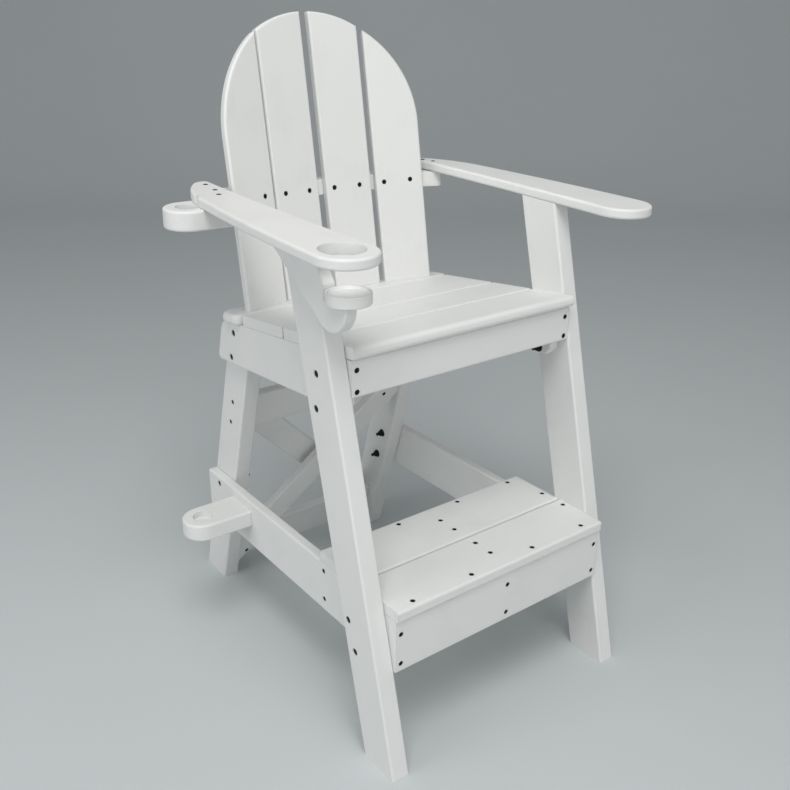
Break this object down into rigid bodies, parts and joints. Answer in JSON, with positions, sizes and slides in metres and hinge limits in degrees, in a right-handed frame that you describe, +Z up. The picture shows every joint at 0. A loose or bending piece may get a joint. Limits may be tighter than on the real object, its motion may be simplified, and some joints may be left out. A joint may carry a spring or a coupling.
{
  "type": "lifeguard chair",
  "caption": "Tall outdoor lifeguard chair of bolted plastic boards: curved slatted back with an arched top, flat arms, step box, crossed rear bracing, cup holder and umbrella holder.",
  "frame": {"origin": "on the floor under the middle of the bounding box", "axes": "+Z up, the sitter faces -Y, +X is the side without the cup and umbrella holders, to the right in a view from the front"},
  "size_m": [0.7744, 0.878, 1.3083],
  "materials": {
    "lumber": "matt off-white plastic lumber with a fine grain",
    "steel": "stainless fasteners"
  },
  "bodies": {
    "root": {"arm_screws": "steel", "back_rail": "lumber", "back_screws": "steel", "back_slat_1": "lumber", "back_slat_2": "lumber", "back_slat_3": "lumber", "back_slat_4": "lumber", "brace_rail_screws": "steel", "brace_screws": "steel", "carriage_bolts": "steel", "cup_bracket": "lumber", "cup_disc": "lumber", "front_apron": "lumber", "front_apron_screws": "steel", "front_brace": "lumber", "front_tread": "lumber", "hex_nuts": "steel", "left_arm": "lumber", "left_front_leg": "lumber", "left_lower_rail": "lumber", "left_rear_leg": "lumber", "left_seat_cleat": "lumber", "left_side_apron": "lumber", "lower_brace_rail": "lumber", "rear_apron": "lumber", "rear_brace": "lumber", "rear_tread": "lumber", "right_arm": "lumber", "right_front_leg": "lumber", "right_lower_rail": "lumber", "right_rear_leg": "lumber", "right_seat_cleat": "lumber", "right_side_apron": "lumber", "riser": "lumber", "riser_screws": "steel", "seat_board_1": "lumber", "seat_board_2": "lumber", "seat_board_3": "lumber", "seat_board_4": "lumber", "step_back_board": "lumber", "step_board_screws": "steel", "step_centre_cleat": "lumber", "tread_screws": "steel", "umbrella_foot": "lumber", "umbrella_ring": "lumber", "upper_brace_rail": "lumber", "washers": "steel"}
  },
  "joints": []
}
